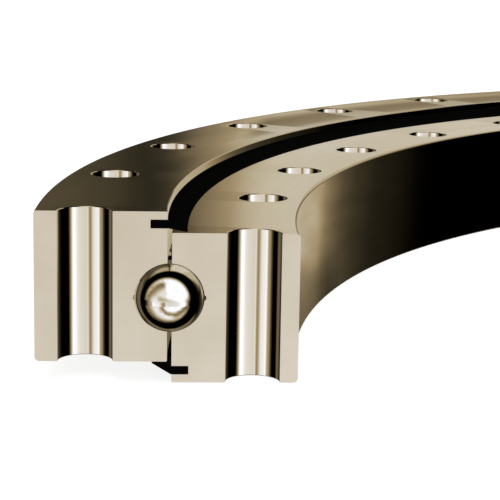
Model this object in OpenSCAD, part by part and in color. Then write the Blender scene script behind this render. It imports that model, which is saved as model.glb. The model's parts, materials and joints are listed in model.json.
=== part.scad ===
// Single-row four-point contact ball slewing ring without gear teeth, shown as a cutaway:
// both rings, the seals and the ball train are cut by the same removed sector.
// The ring axis is Z. Z = 0 is the lower mounting face of the inner ring.
// The first cut face lies in the half-plane X < 0, Y = 0, and the sector in front of it (Y < 0) is removed.

/* [Rings] */
// Outside diameter of the outer ring
outer_d = 964; // [957:1:980]
// Bore diameter of the inner ring
bore_d = 791; // [776:1:797]
// Diameter of the circle through the ball centres
ball_circle_d = 876; // [874:0.5:878]
// Height of each ring
ring_h = 50; // [46:1:60]
// How far the outer ring stands above the inner ring
step_h = 7; // [6.6:0.1:9]
// Radial gap between the two rings
ring_gap = 1.5; // [1.2:0.1:2]

/* [Cutaway] */
// Angle of the removed sector
cut_angle = 60; // [40:20:120]

/* [Bolt holes] */
// Number of bolt holes that each complete ring has
hole_count = 36; // [18:18:36]
// Diameter of the through holes, for M16 bolts
hole_d = 18; // [14:0.5:20]
// Bolt circle of the outer ring
outer_pcd = 931; // [929:1:935]
// Bolt circle of the inner ring
inner_pcd = 821; // [818:1:824]
// Chamfer at both ends of each hole
hole_chamfer = 0.2; // [0.1:0.1:1.2]

/* [Balls] */
// Ball diameter
ball_d = 22; // [20:0.5:22.5]
// Number of balls in a complete ring
ball_count = 108; // [36:36:108]
// Radius of the raceway arcs as a share of the ball diameter
conformity = 0.527; // [0.52:0.001:0.54]
// Contact angle of the raceway arcs
contact_angle = 45; // [40:1:50]
// Diameter of the plastic spacers
spacer_d = 18; // [16:0.5:19]
// Length of a spacer along the ball circle
spacer_l = 10; // [8:0.5:10]

/* [Seals] */
// Height of the seal grooves
groove_h = 2.9; // [2:0.1:3.2]
// Depth of the seal grooves
groove_depth = 5.6; // [4:0.1:7]
// Distance from the other ring's face to the seal groove
groove_offset = 1.45; // [1:0.05:2]
// How far a sealing lip reaches over the other ring
lip_reach = 5; // [3:0.1:6]

/* [Hidden] */
$fn = 96;
span = 360 - cut_angle;
hole_pitch = 360 / hole_count;
hole_steps = span / hole_pitch;
ball_pitch = 360 / ball_count;

outer_r = outer_d / 2;
bore_r = bore_d / 2;
ball_circle_r = ball_circle_d / 2;
outer_ring_bore_r = ball_circle_r + ring_gap / 2;
inner_ring_face_r = ball_circle_r - ring_gap / 2;
inner_top = ring_h;
outer_bottom = step_h;
outer_top = ring_h + step_h;
ball_z = outer_top / 2;

ball_clearance = 0.4;
raceway_r = conformity * ball_d;
raceway_shift = raceway_r - ball_d / 2 - ball_clearance;
relief_r = 1.05;
seat_clearance = 0.2;
grease_hole_r = 2.5;

top_edge_r = 1;
bore_edge_r = 1.6;
foot_edge_r = 1.5;
lip_edge = 0.3;

running_gap = 0.3;
seat_gap = 0.05;
overshoot = 2;
upper_groove_z = inner_top + groove_offset;
lower_groove_z = outer_bottom - groove_offset - groove_h;

// The arc in the middle between two bolt holes that is nearest below a share of the span.
function between_holes(share) = hole_pitch * (floor(share * hole_steps) + 0.5);

plug_arc = between_holes(0.85);
plug_r = 12.5;
plug_inset = 0.4;
pin_top_r = 4.4;
pin_bottom_r = 4;
pin_depth = 44;
pin_circle_r = 464;

nipple_count = 5;
nipple_arcs = [for (k = [0:nipple_count - 1]) between_holes((k + 0.75) / nipple_count)];
nipple_thread_r = 4;
nipple_thread_l = 8;
nipple_hex_r = 5.2;
nipple_hex_h = 4;
tapped_depth = 12;
spot_face_r = 8;
spot_face_depth = 0.6;

group_arc = 20;
groups = span / group_arc;
balls_in_group = group_arc / ball_pitch;

function two_digits(n) = n < 10 ? str("0", n) : str(n);
BALL_NODES = [for (k = [1:groups]) str("ball_group_", two_digits(k))];
SPACER_NODES = [for (k = [1:groups]) str("spacer_group_", two_digits(k))];
NIPPLE_NODES = [for (k = [1:nipple_count]) str("grease_nipple_", k)];

steel = [0.83, 0.78, 0.69];
polished_steel = [0.9, 0.88, 0.84];
rubber = [0.03, 0.03, 0.03];
nylon = [0.6, 0.53, 0.38];
zinc = [0.78, 0.76, 0.68];

// Places children at an angle counted from the first cut face into the ring.
module at_arc(arc) {
  rotate([0, 0, 180 - arc]) children();
}

// Revolves a profile in the plane of radius and height through the part of the ring that is left.
module turned() {
  rotate([0, 0, 180 - span]) rotate_extrude(angle = span) children();
}

// What a corner at the origin loses when it is rounded.
// The material lies left or right of it, and above or below it.
module corner_loss(r, left, above) {
  mirror([left ? 1 : 0, 0, 0]) mirror([0, above ? 0 : 1, 0]) difference() {
    translate([-r, -r]) square(2 * r);
    translate([r, r]) circle(r = r);
  }
}

module chamfer_loss(c) {
  rotate(45) square(c * sqrt(2), center = true);
}

// Gothic arch raceway of two arcs, with a relief groove where they meet.
// side = 1 for the outer ring and -1 for the inner ring.
module raceway(side) {
  translate([ball_circle_r, ball_z]) {
    intersection_for(up = [-1, 1])
      translate(raceway_shift * [-side * cos(contact_angle), -up * sin(contact_angle)]) circle(r = raceway_r);
    translate([side * ball_d / 2, 0]) circle(r = relief_r);
  }
}

module outer_ring_section() {
  difference() {
    translate([outer_ring_bore_r, outer_bottom]) square([outer_r - outer_ring_bore_r, ring_h]);
    raceway(1);
    translate([outer_ring_bore_r - overshoot, upper_groove_z])
      square([groove_depth + overshoot, groove_h]);
    translate([outer_r, outer_top]) corner_loss(top_edge_r, true, false);
    translate([outer_r, outer_bottom]) corner_loss(foot_edge_r, true, true);
    translate([outer_ring_bore_r, outer_top]) chamfer_loss(lip_edge);
    translate([outer_ring_bore_r, outer_bottom]) chamfer_loss(lip_edge);
  }
}

module inner_ring_section() {
  difference() {
    translate([bore_r, 0]) square([inner_ring_face_r - bore_r, ring_h]);
    raceway(-1);
    translate([inner_ring_face_r - groove_depth, lower_groove_z])
      square([groove_depth + overshoot, groove_h]);
    translate([bore_r, inner_top]) corner_loss(bore_edge_r, false, false);
    translate([bore_r, 0]) corner_loss(foot_edge_r, false, true);
    translate([inner_ring_face_r, inner_top]) chamfer_loss(lip_edge);
    translate([inner_ring_face_r, 0]) chamfer_loss(lip_edge);
  }
}

// The row of through holes with a chamfer at each end, between heights z0 and z1.
module bolt_holes(pcd, z0, z1) {
  for (i = [0:hole_steps])
    at_arc(i * hole_pitch) translate([pcd / 2, 0, 0]) {
      translate([0, 0, z0 - overshoot]) cylinder(d = hole_d, h = z1 - z0 + 2 * overshoot);
      translate([0, 0, z1 - hole_chamfer])
        cylinder(d1 = hole_d, d2 = hole_d + 4 * hole_chamfer, h = 2 * hole_chamfer);
      translate([0, 0, z0 - hole_chamfer])
        cylinder(d1 = hole_d + 4 * hole_chamfer, d2 = hole_d, h = 2 * hole_chamfer);
    }
}

// A cylinder of radius r that lies radially, from from_r to to_r, at the height of the balls.
module radial_cylinder(r, from_r, to_r) {
  translate([from_r, 0, ball_z]) rotate([0, 90, 0]) cylinder(r = r, h = to_r - from_r);
}

module taper_pin_shape(gap) {
  at_arc(plug_arc) translate([pin_circle_r, 0, outer_top - pin_depth])
    cylinder(r1 = pin_bottom_r + gap, r2 = pin_top_r + gap, h = pin_depth);
}

module nipple_holes() {
  for (arc = nipple_arcs)
    at_arc(arc) {
      radial_cylinder(grease_hole_r, outer_ring_bore_r, outer_r);
      radial_cylinder(nipple_thread_r + seat_gap, outer_r - tapped_depth, outer_r);
      radial_cylinder(spot_face_r, outer_r - spot_face_depth, outer_r + overshoot);
    }
}

// The round bar that the filling plug is cut from. With a gap around it, it is the plug's hole.
module plug_bar(gap) {
  at_arc(plug_arc) radial_cylinder(plug_r + gap, ball_circle_r, outer_r + overshoot);
}

module inner_ring() {
  color(steel) difference() {
    turned() inner_ring_section();
    bolt_holes(inner_pcd, 0, inner_top);
  }
}

module outer_ring() {
  color(steel) difference() {
    turned() outer_ring_section();
    bolt_holes(outer_pcd, outer_bottom, outer_top);
    nipple_holes();
    plug_bar(seat_gap);
    taper_pin_shape(seat_gap);
  }
}

// Rubber strip in the outer ring, with a lip that runs on the inner ring's top face.
module upper_seal() {
  root_r = outer_ring_bore_r + groove_depth - seat_gap;
  low = upper_groove_z + seat_gap;
  high = upper_groove_z + groove_h - seat_gap;
  tip_r = inner_ring_face_r - lip_reach;
  tip_z = inner_top + running_gap;
  color(rubber) turned()
    polygon([[root_r, low], [root_r, high], [outer_ring_bore_r, high],
             [tip_r, tip_z + lip_edge], [tip_r, tip_z], [outer_ring_bore_r, low]]);
}

// Rubber strip in the inner ring, with a lip that runs on the outer ring's bottom face.
module lower_seal() {
  root_r = inner_ring_face_r - groove_depth + seat_gap;
  low = lower_groove_z + seat_gap;
  high = lower_groove_z + groove_h - seat_gap;
  tip_r = outer_ring_bore_r + lip_reach;
  tip_z = outer_bottom - running_gap;
  color(rubber) turned()
    polygon([[root_r, high], [root_r, low], [inner_ring_face_r, low], [tip_r, tip_z - lip_edge],
             [tip_r, tip_z], [inner_ring_face_r + seat_gap, tip_z], [inner_ring_face_r + seat_gap, high]]);
}

// Closes the hole through which the balls are loaded. Its inner end carries the raceway.
module filling_plug() {
  color(steel) difference() {
    intersection() {
      turned() difference() {
        translate([outer_ring_bore_r, outer_bottom])
          square([outer_r - plug_inset - outer_ring_bore_r, ring_h]);
        raceway(1);
      }
      plug_bar(0);
    }
    taper_pin_shape(seat_gap);
  }
}

module plug_taper_pin() {
  color(zinc) difference() {
    taper_pin_shape(0);
    translate([0, 0, outer_top - lip_edge]) cylinder(r = outer_r, h = overshoot);
  }
}

module grease_nipple(k) {
  seat_r = outer_r - spot_face_depth;
  color(zinc) at_arc(nipple_arcs[k]) translate([seat_r, 0, ball_z]) rotate([0, 90, 0]) {
    translate([0, 0, -nipple_thread_l]) cylinder(r = nipple_thread_r, h = nipple_thread_l);
    cylinder(r = nipple_hex_r, h = nipple_hex_h, $fn = 6);
    translate([0, 0, nipple_hex_h]) rotate_extrude()
      polygon([[0, 0], [3.8, 0], [2.4, 1.6], [2.4, 2.6], [3.25, 3.6], [3.25, 4.4],
               [1.6, 6], [0.8, 6], [0, 5.2]]);
  }
}

module ball(arc) {
  at_arc(arc) translate([ball_circle_r, 0, ball_z]) sphere(d = ball_d);
}

// Nylon cylinder with a spherical seat at each end and a hole for grease.
module spacer(arc) {
  reach = ball_circle_r * sin(ball_pitch / 2);
  at_arc(arc) translate([ball_circle_r, 0, ball_z]) rotate([90, 0, 0]) difference() {
    cylinder(d = spacer_d, h = spacer_l, center = true);
    for (end = [-1, 1]) translate([0, 0, end * reach]) sphere(r = ball_d / 2 + seat_clearance);
    cylinder(r = grease_hole_r, h = spacer_l + overshoot, center = true);
  }
}

module ball_group(k) {
  last = k == groups - 1 ? balls_in_group : balls_in_group - 1;
  color(polished_steel)
    for (i = [0:last]) ball((k * balls_in_group + i) * ball_pitch);
}

module spacer_group(k) {
  color(nylon)
    for (i = [0:balls_in_group - 1]) spacer((k * balls_in_group + i + 0.5) * ball_pitch);
}

inner_ring();
outer_ring();
upper_seal();
lower_seal();
filling_plug();
plug_taper_pin();
for (k = [0:nipple_count - 1])
  grease_nipple(k);
for (k = [0:groups - 1]) {
  ball_group(k);
  spacer_group(k);
}
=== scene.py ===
import json
import math

import bmesh
import bpy
from mathutils import Matrix, Vector

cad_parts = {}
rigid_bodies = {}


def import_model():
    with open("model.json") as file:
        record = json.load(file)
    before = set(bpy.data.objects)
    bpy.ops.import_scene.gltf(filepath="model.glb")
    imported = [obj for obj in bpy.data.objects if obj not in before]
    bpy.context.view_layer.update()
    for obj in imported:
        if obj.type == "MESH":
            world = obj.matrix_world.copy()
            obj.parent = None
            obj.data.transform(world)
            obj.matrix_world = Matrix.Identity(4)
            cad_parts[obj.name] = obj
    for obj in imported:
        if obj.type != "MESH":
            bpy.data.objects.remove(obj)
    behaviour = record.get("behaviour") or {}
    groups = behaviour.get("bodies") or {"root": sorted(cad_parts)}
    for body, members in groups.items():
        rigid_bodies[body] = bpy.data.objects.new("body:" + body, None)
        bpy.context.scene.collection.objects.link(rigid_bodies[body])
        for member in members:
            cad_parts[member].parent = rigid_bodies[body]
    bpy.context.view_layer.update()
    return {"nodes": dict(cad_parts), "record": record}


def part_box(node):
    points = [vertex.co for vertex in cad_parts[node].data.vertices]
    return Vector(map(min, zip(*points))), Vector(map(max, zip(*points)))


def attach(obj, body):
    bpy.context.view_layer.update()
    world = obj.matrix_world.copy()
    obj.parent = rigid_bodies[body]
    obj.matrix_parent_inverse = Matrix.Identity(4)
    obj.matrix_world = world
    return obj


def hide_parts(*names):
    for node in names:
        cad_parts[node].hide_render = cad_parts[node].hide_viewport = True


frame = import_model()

# ---- sizes, in metres; what the frame states comes from the frame ----

MM = 0.001
RAD = math.radians
mounts = {m["name"]: m for m in frame["record"]["mounts"]}
outer_r = -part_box("outer_ring")[0][0]
outer_bottom, outer_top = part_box("outer_ring")[0][2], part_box("outer_ring")[1][2]
inner_bottom, inner_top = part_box("inner_ring")[0][2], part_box("inner_ring")[1][2]
bore_r = mounts["inner_ring_bore"]["dims"]["r_mm"] * MM


def bolt_circle_radius(ring):
    dims = mounts[ring + "_holes_rectangle_80"]["dims"]
    return math.hypot(dims["spacing_x_mm"], dims["spacing_y_mm"]) / 2 * MM


# Arcs and pitches are in degrees. Arcs are counted from the first cut face.
bolt_circle = {ring: bolt_circle_radius(ring) for ring in ("outer_ring", "inner_ring")}
hole_r = mounts["outer_ring_holes_rectangle_80"]["dims"]["hole_r_mm"] * MM
hole_chamfer = 0.2 * MM
hole_pitch = 10
span = 300

# Balls, raceways and the gap between the rings.
ball_circle_r = 438 * MM
ball_r = 11 * MM
ball_z = (inner_bottom + outer_top) / 2
ball_clearance = 0.4 * MM
ball_pitch = hole_pitch / 3
balls_in_group = 6
groups = 15
raceway_r = 11.594 * MM
raceway_shift = raceway_r - ball_r - ball_clearance
contact_angle = RAD(45)
relief_r = 1.05 * MM
ring_gap = 1.5 * MM
outer_ring_bore_r = ball_circle_r + ring_gap / 2
inner_ring_face_r = ball_circle_r - ring_gap / 2

# Seals and their grooves.
groove_depth = 5.6 * MM
groove_h = 2.9 * MM
groove_offset = 1.45 * MM
upper_groove_z = inner_top + groove_offset
lower_groove_z = outer_bottom - groove_offset - groove_h
lip_reach = 5 * MM
running_gap = 0.3 * MM
seat_gap = 0.05 * MM
seal_root_edge_r = 0.35 * MM
upper_lip_tip_r = 0.15 * MM
lower_lip_tip_r = 0.12 * MM

# Edges of the rings.
top_edge_r = 1 * MM
bore_edge_r = 1.6 * MM
foot_edge_r = 1.5 * MM
lip_edge = 0.3 * MM

# Filling plug and its taper pin.
plug_arc = 255
plug_r = 12.5 * MM
plug_inset = 0.4 * MM
plug_edge = 0.8 * MM
plug_inner_edge = 0.2 * MM
plug_tap_r = 4.2 * MM
plug_tap_depth = 14 * MM
plug_tap_point = 2 * MM
pin_circle_r = 464 * MM
pin_r = 4.4 * MM
pin_bottom_r = 4 * MM
pin_depth = 44 * MM
pin_inset = 0.3 * MM
pin_edge = 0.5 * MM

# Grease nipples and their holes.
nipple_arcs = [45, 105, 165, 225, 285]
spot_face_r = 8 * MM
spot_face_depth = 0.6 * MM
grease_hole_r = 2.5 * MM
nipple_hole_r = 4.05 * MM
nipple_hole_depth = 11 * MM
nipple_hole_point = 1 * MM
nipple_hex_r = 5.2 * MM
nipple_hex_h = 4 * MM
nipple_hex_edge = 0.5 * MM
nipple_ball_r = 0.7 * MM
nipple_ball_z = 9.4 * MM

# Thread, neck and head of a nipple, as (radius, height above the spot face) points in millimetres.
NIPPLE_PROFILE = (
    (0, -8), (3.4, -8), (4, -7.2), (4, 0.2), (3.9, 4), (3.8, 4.1), (2.7, 5.1),
    (2.4, 5.6), (2.4, 6.5), (2.7, 7.0), (3.15, 7.5), (3.25, 7.8), (3.25, 8.3),
    (2.9, 8.8), (1.7, 9.9), (1.45, 10), (0.85, 10), (0.75, 9.7), (0, 9.7))

# Cutters reach this far past the face that they open.
overshoot = 2 * MM


# ---- mesh helpers ----

def around_ring(arc):
    """The turn about the ring axis that carries the +X direction to an arc."""
    return Matrix.Rotation(RAD(180 - arc), 4, "Z")


def upright(arc, radius, z=0):
    """Places a local Z axis parallel to the ring axis, at a radius and an arc."""
    return around_ring(arc) @ Matrix.Translation((radius, 0, z))


def radially(arc):
    """Places a local Z axis along the outward radial direction, at the height of the balls."""
    return upright(arc, 0, ball_z) @ Matrix.Rotation(RAD(90), 4, "Y")


def object_from(bm, name, body, materials):
    """Makes an object of bm. With a body's name, the object moves with that body."""
    mesh = bpy.data.meshes.new(name)
    bm.to_mesh(mesh)
    bm.free()
    piece = bpy.data.objects.new(name, mesh)
    bpy.context.scene.collection.objects.link(piece)
    for material in materials:
        mesh.materials.append(material)
    if body:
        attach(piece, body)
    return piece


def shade(mesh, crease=30):
    """Smooth shading with sharp edges where faces meet at more than crease degrees."""
    bm = bmesh.new()
    bm.from_mesh(mesh)
    for face in bm.faces:
        face.smooth = True
    for edge in bm.edges:
        edge.smooth = not edge.is_manifold or edge.calc_face_angle(0) < RAD(crease)
    bm.to_mesh(mesh)
    bm.free()


def arc_points(centre, radius, start, end, steps):
    """Points on an arc in the plane of radius and height, in degrees from the outward direction."""
    points = []
    for k in range(steps + 1):
        angle = RAD(start + (end - start) * k / steps)
        points.append((centre[0] + radius * math.cos(angle), centre[1] + radius * math.sin(angle)))
    return points


def turned(outline):
    """A closed outline of (radius, height) points turned about the ring axis, with flat cut ends."""
    bm = bmesh.new()
    sections = []
    for arc in range(span + 1):
        turn = around_ring(arc)
        sections.append([bm.verts.new(turn @ Vector((r, 0, z))) for r, z in outline])
    for here, there in zip(sections, sections[1:]):
        for i in range(len(outline)):
            j = (i + 1) % len(outline)
            bm.faces.new((here[i], here[j], there[j], there[i]))
    bm.faces.new(reversed(sections[0]))
    bm.faces.new(sections[-1])
    bmesh.ops.recalc_face_normals(bm, faces=bm.faces)
    return bm


def circle_points(radius, z, count, place):
    """Points of a circle about the local Z axis of place."""
    points = []
    for k in range(count):
        angle = 2 * math.pi * k / count
        points.append(place @ Vector((radius * math.cos(angle), radius * math.sin(angle), z)))
    return points


def spun(bm, outline, place, segments=72):
    """Adds a solid of revolution about the local Z axis of place. The outline's ends lie on the axis."""
    rows = []
    for r, z in outline:
        points = circle_points(r, z, segments, place) if r > 0 else [place @ Vector((0, 0, z))]
        rows.append([bm.verts.new(point) for point in points])
    made = []
    for low, high in zip(rows, rows[1:]):
        for k in range(segments):
            n = (k + 1) % segments
            if len(low) == 1:
                made.append(bm.faces.new((low[0], high[n], high[k])))
            elif len(high) == 1:
                made.append(bm.faces.new((low[k], low[n], high[0])))
            else:
                made.append(bm.faces.new((low[k], low[n], high[n], high[k])))
    bmesh.ops.recalc_face_normals(bm, faces=made)


def subtract(piece, cutters):
    """Cuts the solids of the bmesh cutters out of piece, and keeps only the result."""
    cutter = object_from(cutters, piece.name + "_cutter", None, [])
    cut = piece.modifiers.new("cut", "BOOLEAN")
    cut.operation = "DIFFERENCE"
    cut.solver = "MANIFOLD"
    cut.object = cutter
    evaluated = piece.evaluated_get(bpy.context.evaluated_depsgraph_get())
    result = bpy.data.meshes.new_from_object(evaluated)
    piece.modifiers.clear()
    piece.data = result
    bpy.data.objects.remove(cutter)


def subtract_bar(piece, radius, low, high, place):
    """Cuts one round bar out of piece, along the local Z axis of place."""
    bar = bmesh.new()
    spun(bar, [(0, low), (radius, low), (radius, high), (0, high)], place, 64)
    subtract(piece, bar)


# ---- outlines of the ring sections, as (radius, height) points ----

def circles_meet(c1, r1, c2, r2, upper):
    """The upper or lower point where two circles in the section plane meet."""
    dx, dz = c2[0] - c1[0], c2[1] - c1[1]
    d = math.hypot(dx, dz)
    along = (d * d + r1 * r1 - r2 * r2) / (2 * d)
    across = math.sqrt(r1 * r1 - along * along)
    points = []
    for s in (-1, 1):
        points.append((c1[0] + along * dx / d - s * across * dz / d,
                       c1[1] + along * dz / d + s * across * dx / d))
    choose = max if upper else min
    return choose(points, key=lambda point: point[1])


def raceway(side):
    """The raceway from its upper to its lower edge. side is 1 for the outer ring, -1 for the inner."""
    wall = ball_circle_r + side * ring_gap / 2
    offset = raceway_shift * math.cos(contact_angle)
    relief = (ball_circle_r + side * ball_r, ball_z)
    halves = []
    for up in (1, -1):
        centre = (ball_circle_r - side * offset, ball_z - up * offset)
        edge = math.degrees(math.acos(side * (wall - centre[0]) / raceway_r))
        meets = circles_meet(centre, raceway_r, relief, relief_r, up > 0)
        end = math.degrees(math.asin(abs(meets[1] - centre[1]) / raceway_r))
        points = arc_points((0, 0), raceway_r, edge, end, 22)
        halves.append([(centre[0] + side * x, centre[1] + up * z) for x, z in points])
    top_end = halves[0][-1]
    start = math.degrees(math.atan2(top_end[1] - relief[1], side * (top_end[0] - relief[0])))
    notch = [(relief[0] + side * x, relief[1] + z)
             for x, z in arc_points((0, 0), relief_r, start, -start, 10)]
    return halves[0] + notch[1:-1] + halves[1][::-1]


def outer_section():
    low, high, wall = outer_bottom, outer_top, outer_ring_bore_r
    outline = [(wall + lip_edge, low)]
    outline += arc_points((outer_r - foot_edge_r, low + foot_edge_r), foot_edge_r, -90, 0, 8)
    outline += arc_points((outer_r - top_edge_r, high - top_edge_r), top_edge_r, 0, 90, 6)
    outline += [(wall + lip_edge, high), (wall, high - lip_edge),
                (wall, upper_groove_z + groove_h), (wall + groove_depth, upper_groove_z + groove_h),
                (wall + groove_depth, upper_groove_z), (wall, upper_groove_z)]
    outline += raceway(1)
    outline += [(wall, low + lip_edge)]
    return outline


def inner_section():
    low, high, wall = inner_bottom, inner_top, inner_ring_face_r
    outline = [(wall - lip_edge, high)]
    outline += arc_points((bore_r + bore_edge_r, high - bore_edge_r), bore_edge_r, 90, 180, 8)
    outline += arc_points((bore_r + foot_edge_r, low + foot_edge_r), foot_edge_r, 180, 270, 8)
    outline += [(wall - lip_edge, low), (wall, low + lip_edge),
                (wall, lower_groove_z), (wall - groove_depth, lower_groove_z),
                (wall - groove_depth, lower_groove_z + groove_h), (wall, lower_groove_z + groove_h)]
    outline += raceway(-1)[::-1]
    outline += [(wall, high - lip_edge)]
    return outline


def upper_seal_section():
    """A strip rooted in the outer ring's groove, with a lip that slopes down to the inner ring."""
    root, wall = outer_ring_bore_r + groove_depth - seat_gap, outer_ring_bore_r
    low, high = upper_groove_z + seat_gap, upper_groove_z + groove_h - seat_gap
    tip_r, tip_z = inner_ring_face_r - lip_reach, inner_top + running_gap
    edge, tip = seal_root_edge_r, upper_lip_tip_r
    outline = arc_points((root - edge, low + edge), edge, -90, 0, 5)
    outline += arc_points((root - edge, high - edge), edge, 0, 90, 5)
    # The lip's upper side, from the ring's wall to the tip.
    outline += [(wall + 0.5 * MM, high), (wall - 0.6 * MM, high - 0.12 * MM)]
    outline += [(tip_r + 1.6 * MM, tip_z + 1.05 * MM), (tip_r + 0.5 * MM, tip_z + 0.5 * MM)]
    outline += arc_points((tip_r + tip, tip_z + tip), tip, 120, 270, 5)
    outline += [(wall - 0.2 * MM, low)]
    return outline


def lower_seal_section():
    """A strip rooted in the inner ring's groove, with a lip under the outer ring."""
    root, wall = inner_ring_face_r - groove_depth + seat_gap, inner_ring_face_r
    low, high = lower_groove_z + seat_gap, lower_groove_z + groove_h - seat_gap
    tip_r, tip_z = outer_ring_bore_r + lip_reach, outer_bottom - running_gap
    edge, tip = seal_root_edge_r, lower_lip_tip_r
    outline = arc_points((root + edge, high - edge), edge, 90, 180, 5)
    outline += arc_points((root + edge, low + edge), edge, 180, 270, 5)
    outline += [(wall + 0.3 * MM, low)]
    outline += arc_points((tip_r - tip, tip_z - tip), tip, -60, 90, 5)
    # The lip's upper side runs back to the inner ring's wall and up into the groove.
    outline += [(wall + seat_gap + 0.25 * MM, tip_z), (wall + seat_gap, tip_z - 0.2 * MM)]
    outline += [(wall + seat_gap, high)]
    return outline


# ---- node trees ----

def rgba(r, g, b):
    return (r, g, b, 1.0)


class Nodes:
    """Short calls for building a node tree. Most inputs take a number or another node's output."""

    def __init__(self, tree):
        self.tree = tree
        tree.nodes.clear()

    def add(self, kind, **settings):
        node = self.tree.nodes.new("ShaderNode" + kind)
        for name, value in settings.items():
            setattr(node, name, value)
        return node

    def put(self, socket, value):
        if isinstance(value, bpy.types.NodeSocket):
            self.tree.links.new(value, socket)
        else:
            socket.default_value = value

    def math(self, operation, *values):
        node = self.add("Math", operation=operation)
        for socket, value in zip(node.inputs, values):
            self.put(socket, value)
        return node.outputs[0]

    def plus(self, a, b):
        return self.math("ADD", a, b)

    def minus(self, a, b):
        return self.math("SUBTRACT", a, b)

    def times(self, a, b):
        return self.math("MULTIPLY", a, b)

    def length(self, a, b):
        """The length of a vector with the parts a and b."""
        return self.math("SQRT", self.plus(self.times(a, a), self.times(b, b)))

    def degrees(self, operation, *values):
        return self.math("DEGREES", self.math(operation, *values))

    def vector(self, operation, *values):
        node = self.add("VectorMath", operation=operation)
        for socket, value in zip(node.inputs, values):
            self.put(socket, value)
        return node.outputs["Value"] if operation == "DOT_PRODUCT" else node.outputs["Vector"]

    def step(self, value, low, high, at_low=0.0, at_high=1.0):
        """A smooth step of value between low and high."""
        node = self.add("MapRange", interpolation_type="SMOOTHSTEP")
        for name, setting in (("Value", value), ("From Min", low), ("From Max", high),
                              ("To Min", at_low), ("To Max", at_high)):
            self.put(node.inputs[name], setting)
        return node.outputs[0]

    def window(self, value, start, full, leave, end):
        """1 between full and leave, 0 before start and after end, with smooth steps."""
        return self.times(self.step(value, start, full), self.step(value, leave, end, 1.0, 0.0))

    def blend(self, share, a, b):
        """A number that goes from a to b as share goes from 0 to 1."""
        node = self.add("Mix", data_type="FLOAT")
        for socket, value in zip(node.inputs[0:1] + node.inputs[2:4], (share, a, b)):
            self.put(socket, value)
        return node.outputs[0]

    def mix(self, share, a, b):
        """A colour that goes from a to b as share goes from 0 to 1."""
        node = self.add("Mix", data_type="RGBA")
        for socket, value in zip(node.inputs[0:1] + node.inputs[6:8], (share, a, b)):
            self.put(socket, value)
        return node.outputs[2]

    def ramp(self, value, stops):
        """A colour that follows value through the stops, which are (value, colour) pairs."""
        low, high = stops[0][0], stops[-1][0]
        place = self.add("MapRange")
        self.put(place.inputs["Value"], value)
        place.inputs["From Min"].default_value = low
        place.inputs["From Max"].default_value = high
        node = self.add("ValToRGB")
        elements = node.color_ramp.elements
        while len(elements) < len(stops):
            elements.new(1.0)
        for element, (at, colour) in zip(elements, stops):
            element.position = (at - low) / (high - low)
            element.color = rgba(*colour)
        self.put(node.inputs[0], place.outputs[0])
        return node.outputs[0]

    def graded(self, value, stops):
        """A number that follows value through the stops, which are (value, number) pairs."""
        return self.ramp(value, [(at, (level, level, level)) for at, level in stops])

    def noise(self, vector, scale, detail=2.0, rough=0.5, distortion=0.0):
        node = self.add("TexNoise")
        self.put(node.inputs["Vector"], vector)
        node.inputs["Scale"].default_value = scale
        node.inputs["Detail"].default_value = detail
        node.inputs["Roughness"].default_value = rough
        node.inputs["Distortion"].default_value = distortion
        return node.outputs["Fac"]

    def place(self):
        """The shaded point in the object's own coordinates, in metres."""
        return self.add("TexCoord").outputs["Object"]

    def xyz(self, vector):
        node = self.add("SeparateXYZ")
        self.put(node.inputs[0], vector)
        return node.outputs

    def combine(self, x, y, z):
        node = self.add("CombineXYZ")
        for socket, value in zip(node.inputs, (x, y, z)):
            self.put(socket, value)
        return node.outputs[0]

    def bump(self, height, strength, distance):
        node = self.add("Bump")
        node.inputs["Strength"].default_value = strength
        node.inputs["Distance"].default_value = distance
        self.put(node.inputs["Height"], height)
        return node.outputs[0]


# ---- materials ----

STEEL = rgba(0.86, 0.79, 0.67)
STEEL_DARKER = rgba(0.80, 0.73, 0.60)
# The raceway tones are darker than the turned steel: painted shade for the groove round the balls, which
# mirrors only the studio.
RACEWAY_PAINTED_SHADE = rgba(0.74, 0.66, 0.52)
RACEWAY_PAINTED_SHADE_DARKER = rgba(0.66, 0.58, 0.44)
BRIGHT_STEEL = rgba(0.90, 0.84, 0.74)
POLISHED_STEEL = rgba(0.93, 0.90, 0.85)
RUBBER = rgba(0.0025, 0.0024, 0.0022)
RUBBER_DARKER = rgba(0.0008, 0.0008, 0.0007)
NYLON = rgba(0.64, 0.57, 0.42)
NYLON_DARKER = rgba(0.56, 0.49, 0.34)
ZINC = rgba(0.76, 0.70, 0.52)
ZINC_DARKER = rgba(0.62, 0.54, 0.36)


def material(name):
    made = bpy.data.materials.new(name)
    made.use_nodes = True
    nodes = Nodes(made.node_tree)
    shader = nodes.add("BsdfPrincipled")
    out = nodes.add("OutputMaterial")
    nodes.put(out.inputs["Surface"], shader.outputs[0])
    return made, nodes, shader


def dress(nodes, shader, colour, rough, metallic=1.0):
    """Sets a shader's colour, roughness and metallic input."""
    nodes.put(shader.inputs["Base Color"], colour)
    nodes.put(shader.inputs["Roughness"], rough)
    nodes.put(shader.inputs["Metallic"], metallic)


def lathe_lines(nodes, per_metre):
    """Cutting marks that run round the ring axis, on flat and on cylindrical faces alike."""
    x, y, z = nodes.xyz(nodes.place())
    radius = nodes.length(x, y)
    across = nodes.times(nodes.plus(radius, z), per_metre)
    return nodes.combine(nodes.math("DIVIDE", x, radius), nodes.math("DIVIDE", y, radius), across)


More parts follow.
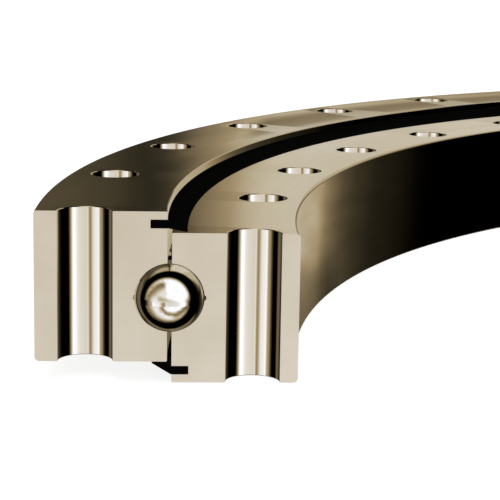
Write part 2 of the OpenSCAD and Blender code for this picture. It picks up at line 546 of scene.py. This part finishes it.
def turned_steel(name, rough, colour, darker):
    """Fine turned steel: marks round the axis in the bump, the roughness and the tint."""
    made, nodes, shader = material(name)
    fine = nodes.noise(lathe_lines(nodes, 1500.0), 1.0, detail=3.0, rough=0.6)
    broad = nodes.noise(lathe_lines(nodes, 160.0), 1.6)
    blotch = nodes.noise(nodes.place(), 14.0, detail=3.0)
    tint = nodes.plus(nodes.times(broad, 0.6), nodes.times(blotch, 0.4))
    dress(nodes, shader, nodes.mix(nodes.step(tint, 0.35, 0.65), darker, colour),
          nodes.step(fine, 0.3, 0.7, rough * 0.8, rough * 1.25))
    nodes.put(shader.inputs["Normal"], nodes.bump(fine, 0.10, 0.02 * MM))
    return made


def section_steel():
    """The ground cut faces: faint level grinding marks blur what they mirror a little."""
    made, nodes, shader = material("section_steel")
    x, y, z = nodes.xyz(nodes.place())
    along, across = 18.0, 1400.0
    marks = nodes.combine(nodes.times(x, along), nodes.times(y, along), nodes.times(z, across))
    lines = nodes.noise(marks, 1.0, detail=3.0, rough=0.6)
    blotch = nodes.noise(nodes.place(), 45.0, detail=3.0)
    dress(nodes, shader, nodes.mix(nodes.step(blotch, 0.3, 0.7), STEEL_DARKER, STEEL),
          nodes.step(lines, 0.3, 0.7, 0.11, 0.16))
    nodes.put(shader.inputs["Normal"], nodes.bump(lines, 0.03, 0.01 * MM))
    return made


def drilled_steel():
    """The bright reamed walls of the bolt holes, with faint rings."""
    made, nodes, shader = material("drilled_steel")
    x, y, z = nodes.xyz(nodes.place())
    rings = nodes.noise(nodes.combine(x, y, nodes.times(z, 1300.0)), 1.0)
    dress(nodes, shader, BRIGHT_STEEL, nodes.step(rings, 0.3, 0.7, 0.04, 0.07))
    nodes.put(shader.inputs["Normal"], nodes.bump(rings, 0.03, 0.01 * MM))
    return made


def ball_steel():
    """Polished steel with a faint haze."""
    made, nodes, shader = material("ball_steel")
    haze = nodes.noise(nodes.place(), 180.0, detail=3.0)
    dress(nodes, shader, POLISHED_STEEL, nodes.step(haze, 0.35, 0.7, 0.02, 0.05))
    return made


def seal_rubber():
    """Deep black rubber without gloss, with a fine grain."""
    made, nodes, shader = material("seal_rubber")
    grain = nodes.noise(nodes.place(), 2600.0)
    flow = nodes.noise(lathe_lines(nodes, 500.0), 1.0)
    dress(nodes, shader, nodes.mix(flow, RUBBER_DARKER, RUBBER),
          nodes.step(flow, 0.3, 0.7, 0.6, 0.75), metallic=0.0)
    nodes.put(shader.inputs["Normal"], nodes.bump(grain, 0.15, 0.03 * MM))
    nodes.put(shader.inputs["Specular IOR Level"], 0.0)
    return made


def spacer_plastic():
    """Natural nylon, moulded."""
    made, nodes, shader = material("spacer_plastic")
    grain = nodes.noise(nodes.place(), 1500.0)
    dress(nodes, shader, nodes.mix(grain, NYLON_DARKER, NYLON), 0.5, metallic=0.0)
    nodes.put(shader.inputs["Normal"], nodes.bump(grain, 0.2, 0.02 * MM))
    return made


def zinc_plate():
    """Yellowish zinc plating with a fine crystal pattern."""
    made, nodes, shader = material("zinc_plate")
    crystal = nodes.noise(nodes.place(), 900.0, detail=3.0)
    dress(nodes, shader, nodes.mix(nodes.step(crystal, 0.3, 0.7), ZINC_DARKER, ZINC),
          nodes.step(crystal, 0.3, 0.7, 0.2, 0.34))
    nodes.put(shader.inputs["Normal"], nodes.bump(crystal, 0.08, 0.02 * MM))
    return made


turned_material = turned_steel("turned_steel", 0.07, STEEL, STEEL_DARKER)
section_material = section_steel()
# Raceway faces get the darker steel tones, painted shade for the groove round the balls.
raceway_painted_shade_material = turned_steel("raceway_steel_painted_shade", 0.10, RACEWAY_PAINTED_SHADE, RACEWAY_PAINTED_SHADE_DARKER)
drilled_material = drilled_steel()
ball_material = ball_steel()
rubber_material = seal_rubber()
plastic_material = spacer_plastic()
zinc_material = zinc_plate()
RING_MATERIALS = [turned_material, section_material, raceway_painted_shade_material, drilled_material]
TURNED, SECTION, RACEWAY, DRILLED = range(4)


# ---- the pieces ----

def bolt_hole_cutters(ring, low, high):
    """One cutter for each bolt hole of a ring, with a chamfer at both ends."""
    c = hole_chamfer
    outline = [(0, low - c), (hole_r + 2 * c, low - c), (hole_r, low + c), (hole_r, high - c),
               (hole_r + 2 * c, high + c), (0, high + c)]
    cutters = bmesh.new()
    for k in range(round(span / hole_pitch) + 1):
        spun(cutters, outline, upright(k * hole_pitch, bolt_circle[ring]))
    return cutters


def add_nipple_hole_cutters(cutters):
    """Grease hole, tapped hole and spot face of each nipple, as heights along the radial direction."""
    inside, outside = outer_ring_bore_r - overshoot, outer_r + overshoot
    thread_end = outer_r - nipple_hole_depth
    spot_face = outer_r - spot_face_depth
    outline = [(0, inside), (grease_hole_r, inside), (grease_hole_r, thread_end - nipple_hole_point),
               (nipple_hole_r, thread_end), (nipple_hole_r, spot_face), (spot_face_r, spot_face),
               (spot_face_r, outside), (0, outside)]
    for arc in nipple_arcs:
        spun(cutters, outline, radially(arc), 48)


def cut_plane_normals():
    """The outward normals of the two cut faces."""
    first = around_ring(0) @ Vector((0, 1, 0))
    last = around_ring(span) @ Vector((0, -1, 0))
    return first, last


def paint_ring(piece, ring):
    """Gives each face of a ring its material by where it lies."""
    normals = cut_plane_normals()
    for face in piece.data.polygons:
        c, n = face.center, face.normal
        r = math.hypot(c.x, c.y)
        arc = (180 - math.degrees(math.atan2(c.y, c.x))) % 360
        hole = upright(round(arc / hole_pitch) * hole_pitch, bolt_circle[ring]).translation
        from_hole = math.hypot(c.x - hole.x, c.y - hole.y)
        from_ball = math.hypot(r - ball_circle_r, c.z - ball_z)
        if any(n.dot(cut) > 0.999 and abs(c.dot(cut)) < 0.01 * MM for cut in normals):
            face.material_index = SECTION
        elif from_hole < hole_r + 2 * hole_chamfer and abs(n.z) < 0.9:
            face.material_index = DRILLED
        elif from_ball < ball_r + 2 * relief_r:
            face.material_index = RACEWAY
        else:
            face.material_index = TURNED


def finish_ring(piece, node):
    piece.data.materials.clear()
    for made in RING_MATERIALS:
        piece.data.materials.append(made)
    paint_ring(piece, node)
    shade(piece.data)
    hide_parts(node)


def outer_ring():
    piece = object_from(turned(outer_section()), "outer_ring_shell", "outer_ring", [])
    cutters = bolt_hole_cutters("outer_ring", outer_bottom, outer_top)
    add_nipple_hole_cutters(cutters)
    subtract(piece, cutters)
    subtract_bar(piece, plug_r + seat_gap, ball_circle_r, outer_r + overshoot, radially(plug_arc))
    subtract_bar(piece, pin_r + seat_gap, outer_top - pin_depth, outer_top + overshoot,
                 upright(plug_arc, pin_circle_r))
    finish_ring(piece, "outer_ring")


def inner_ring():
    piece = object_from(turned(inner_section()), "inner_ring_shell", "inner_ring", [])
    subtract(piece, bolt_hole_cutters("inner_ring", inner_bottom, inner_top))
    finish_ring(piece, "inner_ring")


def seal(node, body, outline):
    piece = object_from(turned(outline), node + "_strip", body, [rubber_material])
    shade(piece.data, 40)
    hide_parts(node)


def fine_balls(node, first, count):
    """One group of balls as fine spheres, for the two groups that the cut faces show."""
    bm = bmesh.new()
    for k in range(first, first + count):
        place = upright(k * ball_pitch, ball_circle_r, ball_z)
        bmesh.ops.create_uvsphere(bm, u_segments=72, v_segments=40, radius=ball_r, matrix=place)
    piece = object_from(bm, node + "_fine", "ball_train", [ball_material])
    shade(piece.data)
    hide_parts(node)


def filling_plug():
    """The plug's outer part, with a chamfer and a threaded hole to pull it by."""
    inner = ball_circle_r + ball_r + ball_clearance
    end = outer_r - plug_inset
    tap_end = end - plug_tap_depth
    outline = [(0, inner), (plug_r - plug_inner_edge, inner), (plug_r, inner + plug_inner_edge),
               (plug_r, end - plug_edge), (plug_r - plug_edge, end), (plug_tap_r + 1 * MM, end),
               (plug_tap_r, end - 1 * MM), (plug_tap_r, tap_end), (0, tap_end - plug_tap_point)]
    bm = bmesh.new()
    spun(bm, outline, radially(plug_arc), 72)
    piece = object_from(bm, "filling_plug_bar", "outer_ring", [turned_material])
    shade(piece.data)
    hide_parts("filling_plug")


def taper_pin():
    """A slender cone with a chamfer at both ends and a centre mark in its top."""
    bottom, top = outer_top - pin_depth, outer_top - pin_inset
    centre_mark_r = 1.2 * MM
    outline = [(0, bottom), (pin_bottom_r - 0.3 * MM, bottom), (pin_bottom_r, bottom + 0.4 * MM),
               (pin_r, top - pin_edge), (pin_r - pin_edge, top), (centre_mark_r, top),
               (0, top - 0.5 * MM)]
    bm = bmesh.new()
    spun(bm, outline, upright(plug_arc, pin_circle_r), 48)
    piece = object_from(bm, "plug_taper_pin_fine", "outer_ring", [zinc_material])
    shade(piece.data)
    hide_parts("plug_taper_pin")


def grease_nipple(number, arc):
    """Hexagon with turned corners, neck, head and the small ball in its mouth."""
    place = radially(arc) @ Matrix.Translation((0, 0, outer_r - spot_face_depth))
    bm = bmesh.new()
    hexagon(bm, place)
    spun(bm, [(r * MM, z * MM) for r, z in NIPPLE_PROFILE], place, 48)
    bmesh.ops.create_uvsphere(bm, u_segments=20, v_segments=12, radius=nipple_ball_r,
                              matrix=place @ Matrix.Translation((0, 0, nipple_ball_z)))
    name = "grease_nipple_%d" % number
    piece = object_from(bm, name + "_fine", "outer_ring", [zinc_material])
    shade(piece.data)
    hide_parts(name)


def hexagon(bm, place):
    """A hexagonal nut body whose corners are turned off at the outer end."""
    levels = ((1, 0.0), (1, nipple_hex_h - nipple_hex_edge), (0.88, nipple_hex_h))
    rows = []
    for scale, z in levels:
        rows.append([bm.verts.new(point) for point in circle_points(nipple_hex_r * scale, z, 6, place)])
    made = [bm.faces.new(rows[0][::-1]), bm.faces.new(rows[-1])]
    for low, high in zip(rows, rows[1:]):
        for k in range(6):
            n = (k + 1) % 6
            made.append(bm.faces.new((low[k], low[n], high[n], high[k])))
    bmesh.ops.recalc_face_normals(bm, faces=made)


def dress_cad_nodes():
    """The balls and spacers inside the rings keep their CAD meshes and get their materials."""
    for name, node in frame["nodes"].items():
        made = ball_material if name.startswith("ball_group") else plastic_material
        if name.startswith(("ball_group", "spacer_group")):
            node.data.materials.clear()
            node.data.materials.append(made)


def reflect_only_the_studio():
    """Polished faces mirror the studio and not each other, so that each shows clean bands of light."""
    for piece in bpy.data.objects:
        if piece.type == "MESH":
            piece.visible_glossy = False


# ---- the studio that polished faces mirror ----

# Its directions are fixed in the world. "Ahead" is -Y, the side that the first cut face looks to,
# and "behind" is +Y. Turns away from them count towards +X. Turns and heights above the horizon
# are in degrees. Brightness runs from 0 to 1, and the colour of the light follows it.

# Colour by brightness: dim light is golden brown, medium light is cream, full light is white.
WARM_TONE = (
    (0.0, (0, 0, 0)), (0.03, (0.045, 0.038, 0.023)), (0.10, (0.17, 0.132, 0.077)),
    (0.23, (0.38, 0.30, 0.175)), (0.40, (0.58, 0.52, 0.385)), (0.54, (0.73, 0.705, 0.67)),
    (0.64, (0.83, 0.83, 0.82)), (1.0, (1.25, 1.33, 1.55)))

# Brightness of the upright screens ahead, by the turn from straight ahead.
UPRIGHT_SCREENS = (
    (-90, 0.0), (-82, 0.04), (-76, 0.16), (-72, 0.24), (-67, 0.25), (-62, 0.45), (-57, 0.86),
    (-49, 0.74), (-41, 0.72), (-34, 0.66), (-28, 0.42), (-21, 0.18), (-16, 0.24), (-11, 0.60),
    (-9, 0.66), (-6, 0.54), (0, 0.55), (5, 0.57), (13, 0.59), (22, 0.61), (30, 0.66),
    (38, 0.77), (43, 0.92), (47, 1.0), (52, 0.94), (57, 0.60), (62, 0.28), (67, 0.09), (73, 0.0))

# Brightness of the panel behind near its left edge, by the turn from straight behind.
PANEL_EDGE = (
    (-6, 0.058), (-3.9, 0.048), (-2.5, 0.037), (-1.7, 0.024), (-0.9, 0.018), (-0.2, 0.028),
    (0.3, 0.05), (1.0, 0.12), (1.7, 0.17), (2.4, 0.235), (3.1, 0.36), (3.9, 0.43),
    (5.0, 0.455), (10, 0.45))

# How the panel behind falls off to both sides. It is wider higher up.
PANEL_FALL = (
    (2, 1.0), (6, 0.78), (21, 0.75), (25, 0.69), (27, 0.55), (28.6, 0.40), (31.4, 0.27),
    (34, 0.19), (36, 0.13), (40, 0.075), (47, 0.03), (56, 0.012), (63, 0.0))

# How the panel behind gets darker downwards, by height.
PANEL_FOOT = (
    (-16, 0.20), (-13.1, 0.34), (-12.5, 0.43), (-12, 0.56), (-11.5, 0.76), (-11, 0.90), (-9, 1.0))

# The round screen ahead is laid out on a mirror ball of radius 1 that faces TOWARDS. That is a fixed
# direction, out of the first cut face and a little up. It equals the way from the cut ball to the
# camera's place. Right on the ball is +X, and up is UPWARDS.
TOWARDS = Vector((0.0, -0.975, 0.2226))
UPWARDS = Vector((0.0, 0.2226, 0.975))
SCREEN_CENTRE = (-0.055, -0.07)
SWIRL_CENTRE = (-0.08, -0.095)

# Dim arcs on the round screen. Each runs from first to last degrees about SWIRL_CENTRE, starts at
# the distance start, and moves out by growth per degree.
SWIRL_ARCS = (
    dict(first=200, last=384, start=0.13, growth=0.0033, width=0.085, depth=0.80),
    dict(first=285, last=384, start=0.54, growth=0.0012, width=0.12, depth=0.42),
    dict(first=88, last=310, start=0.475, growth=0.0008, width=0.10, depth=0.74),
    dict(first=92, last=178, start=0.42, growth=0.0, width=0.10, depth=0.45),
    dict(first=86, last=150, start=0.20, growth=0.0, width=0.20, depth=0.18))


def build_world():
    """Camera rays and soft light see plain white. Mirror rays see the studio."""
    world = bpy.data.worlds.new("studio")
    bpy.context.scene.world = world
    world.use_nodes = True
    world.cycles.sampling_method = "NONE"
    nodes = Nodes(world.node_tree)
    plain = nodes.add("Background")
    plain.inputs["Color"].default_value = rgba(1.0, 1.0, 1.0)
    mirrored = nodes.add("Background")
    nodes.put(mirrored.inputs["Color"], nodes.ramp(studio_light(nodes), WARM_TONE))
    mixed = nodes.add("MixShader")
    nodes.put(mixed.inputs[0], nodes.add("LightPath").outputs["Is Glossy Ray"])
    nodes.put(mixed.inputs[1], plain.outputs[0])
    nodes.put(mixed.inputs[2], mirrored.outputs[0])
    out = nodes.add("OutputWorld")
    nodes.put(out.inputs["Surface"], mixed.outputs[0])


def studio_light(nodes):
    """Brightness by direction: screens ahead, a warm panel behind and dark sides."""
    direction = nodes.add("TexCoord").outputs["Generated"]
    x, y, z = nodes.xyz(direction)
    ahead = nodes.degrees("ARCTAN2", x, nodes.times(y, -1.0))
    behind = nodes.degrees("ARCTAN2", x, y)
    height = nodes.degrees("ARCSINE", z)

    upright_part = nodes.window(height, -21, -16, -7, -3)
    upright_screens = nodes.times(nodes.graded(ahead, UPRIGHT_SCREENS),
                                  nodes.step(height, -17, -8, 1.05, 0.98))
    front = nodes.blend(upright_part, round_screen(nodes, direction), upright_screens)
    back = nodes.times(back_panel(nodes, behind, height), nodes.step(y, 0.40, 0.55))
    return nodes.plus(front, back)


def round_screen(nodes, direction):
    """A round bright screen ahead, with dim arcs that wind out of its middle."""
    halfway = nodes.vector("NORMALIZE", nodes.vector("ADD", direction, TOWARDS))
    right = nodes.vector("DOT_PRODUCT", halfway, (1.0, 0.0, 0.0))
    up = nodes.vector("DOT_PRODUCT", halfway, UPWARDS)
    clouds = nodes.noise(nodes.combine(right, up, 0.0), 6.0, distortion=1.0)
    swing = nodes.minus(clouds, 0.5)

    distance, turn = polar(nodes, right, up, SWIRL_CENTRE)
    wavy_distance = nodes.plus(distance, nodes.times(swing, 0.10))
    level = nodes.plus(nodes.step(right, -0.30, 0.02, 0.64, 0.86), nodes.times(swing, 0.45))
    for arc in SWIRL_ARCS:
        level = nodes.times(level, dim_arc(nodes, wavy_distance, turn, **arc))
    level = nodes.times(level, dim_bar(nodes, right, up))

    rim_distance, _ = polar(nodes, right, up, SCREEN_CENTRE)
    return nodes.times(level, nodes.step(rim_distance, 0.57, 0.69, 1.0, 0.0))


def polar(nodes, right, up, centre):
    """Distance from a centre and turn about it, in degrees."""
    across = nodes.minus(right, centre[0])
    rise = nodes.minus(up, centre[1])
    return nodes.length(across, rise), nodes.degrees("ARCTAN2", rise, across)


def dim_arc(nodes, distance, turn, first, last, start, growth, width, depth):
    """The share of light left by an arc: 1 - depth on its middle line, 1 away from it."""
    along = nodes.math("FLOORED_MODULO", nodes.minus(turn, float(first)), 360.0)
    path = nodes.plus(nodes.times(along, growth), start)
    off = nodes.math("ABSOLUTE", nodes.minus(distance, path))
    length = last - first
    ends = nodes.window(along, 0, 14, length - 30, length)
    strength = nodes.times(ends, nodes.step(off, 0.0, width * 1.6, depth, 0.0))
    return nodes.minus(1.0, strength)


def dim_bar(nodes, right, up):
    """The share of light left by a short sloping dim bar across the middle of the swirl."""
    slope = 0.3
    rise = nodes.plus(nodes.minus(up, SWIRL_CENTRE[1]),
                      nodes.times(nodes.minus(right, SWIRL_CENTRE[0]), slope))
    across = nodes.step(nodes.math("ABSOLUTE", rise), 0.01, 0.13, 0.46, 0.0)
    return nodes.minus(1.0, nodes.times(across, nodes.window(right, -0.42, -0.26, 0.04, 0.40)))


def back_panel(nodes, behind, height):
    """A warm panel behind, with a ragged left edge, soft level streaks and a dim foot."""
    streaks = nodes.noise(nodes.combine(nodes.times(behind, 0.10), nodes.times(height, 1.1), 0.0),
                          1.0, detail=1.5)
    swing = nodes.minus(streaks, 0.5)
    ragged = nodes.plus(behind, nodes.times(swing, 1.5))
    ragged = nodes.plus(ragged, nodes.step(height, 7.4, 7.8, 0.6, 0.0))
    level = nodes.times(nodes.graded(ragged, PANEL_EDGE), nodes.plus(nodes.times(swing, 0.6), 1.0))
    level = nodes.times(level, low_streaks(nodes, behind, height, swing))
    foot = nodes.blend(nodes.step(behind, 31, 39), nodes.graded(height, PANEL_FOOT), 1.0)
    level = nodes.times(level, foot)

    high_left = nodes.times(nodes.step(height, 28, 45), nodes.step(behind, 0, -6, 0.0, 0.22))
    reach = nodes.minus(nodes.math("ABSOLUTE", behind), nodes.times(nodes.plus(height, 12.0), 0.6))
    lit = nodes.times(nodes.plus(level, high_left), nodes.graded(reach, PANEL_FALL))
    return nodes.plus(lit, side_glow(nodes, behind, height))


def side_glow(nodes, behind, height):
    """Two faint glows beside the panel behind: one to its left and one far below it."""
    left = nodes.times(nodes.window(behind, -74, -58, -44, -24), nodes.step(height, 5, 25, 0.09, 0.0))
    low = nodes.times(nodes.window(height, -64, -52, -42, -30), 0.10)
    return nodes.math("MAXIMUM", left, low)


def low_streaks(nodes, behind, height, swing):
    """The share of the panel's light left in a slanting band and in a gap at the horizon."""
    slant = nodes.plus(height, nodes.times(behind, 0.137))
    wavy = nodes.plus(slant, nodes.times(swing, 0.3))
    band = nodes.window(wavy, 3.0, 4.5, 6.98, 7.44)
    right_part = nodes.step(behind, 1.9, 2.9, 0.0, 0.70)
    gap = nodes.window(height, -4.5, -1.5, 0.5, 3.5)
    return nodes.times(nodes.minus(1.0, nodes.times(band, right_part)),
                       nodes.minus(1.0, nodes.times(gap, 0.5)))


# ---- floor, camera and lamp ----

def build_floor():
    """A floor just under the bearing that gives off light of its own, so that it looks white."""
    made, nodes, shader = material("pale_floor")
    dress(nodes, shader, rgba(0.25, 0.25, 0.25), 0.9, metallic=0.0)
    nodes.put(shader.inputs["Specular IOR Level"], 0.0)
    nodes.put(shader.inputs["Emission Color"], rgba(1.0, 1.0, 1.0))
    nodes.put(shader.inputs["Emission Strength"], 0.86)
    half_width = 30
    drop = 0.3 * MM
    bm = bmesh.new()
    bmesh.ops.create_grid(bm, x_segments=4, y_segments=4, size=half_width)
    for vert in bm.verts:
        vert.co.z = inner_bottom - drop
    floor = object_from(bm, "floor", None, [made])
    floor.visible_glossy = False


def build_camera():
    """The camera looks along +Y, a little to the right and down, at the first cut face."""
    data = bpy.data.cameras.new("camera")
    data.lens = 118.9
    data.sensor_width = 36
    data.clip_start = 0.01
    camera = bpy.data.objects.new("camera", data)
    bpy.context.scene.collection.objects.link(camera)
    position = (-0.43702, -0.52558, 0.14847)
    yaw, pitch, roll = 2.725, -11.17, 0.945
    turn = (Matrix.Rotation(RAD(-yaw), 4, "Z") @ Matrix.Rotation(RAD(90 + pitch), 4, "X")
            @ Matrix.Rotation(RAD(roll), 4, "Z"))
    camera.matrix_world = Matrix.Translation(position) @ turn
    bpy.context.scene.camera = camera


def build_lights():
    """One large soft lamp over the bearing, turned to the ring's centre."""
    data = bpy.data.lights.new("soft_box", "AREA")
    data.shape = "RECTANGLE"
    data.size = 2.4
    data.size_y = 2.4
    data.energy = 18
    lamp = bpy.data.objects.new("soft_box", data)
    lamp.location = (-0.6, -0.8, 2.2)
    lamp.rotation_euler = (-lamp.location).to_track_quat("-Z", "Y").to_euler()
    lamp.visible_glossy = False
    bpy.context.scene.collection.objects.link(lamp)


build_camera()
inner_ring()
outer_ring()
seal("upper_seal", "outer_ring", upper_seal_section())
seal("lower_seal", "inner_ring", lower_seal_section())
fine_balls("ball_group_01", 0, balls_in_group)
fine_balls("ball_group_15", (groups - 1) * balls_in_group, balls_in_group + 1)
filling_plug()
taper_pin()
for number, arc in enumerate(nipple_arcs, 1):
    grease_nipple(number, arc)
dress_cad_nodes()
reflect_only_the_studio()
build_world()
build_floor()
build_lights()
bpy.context.scene.view_settings.view_transform = "Standard"
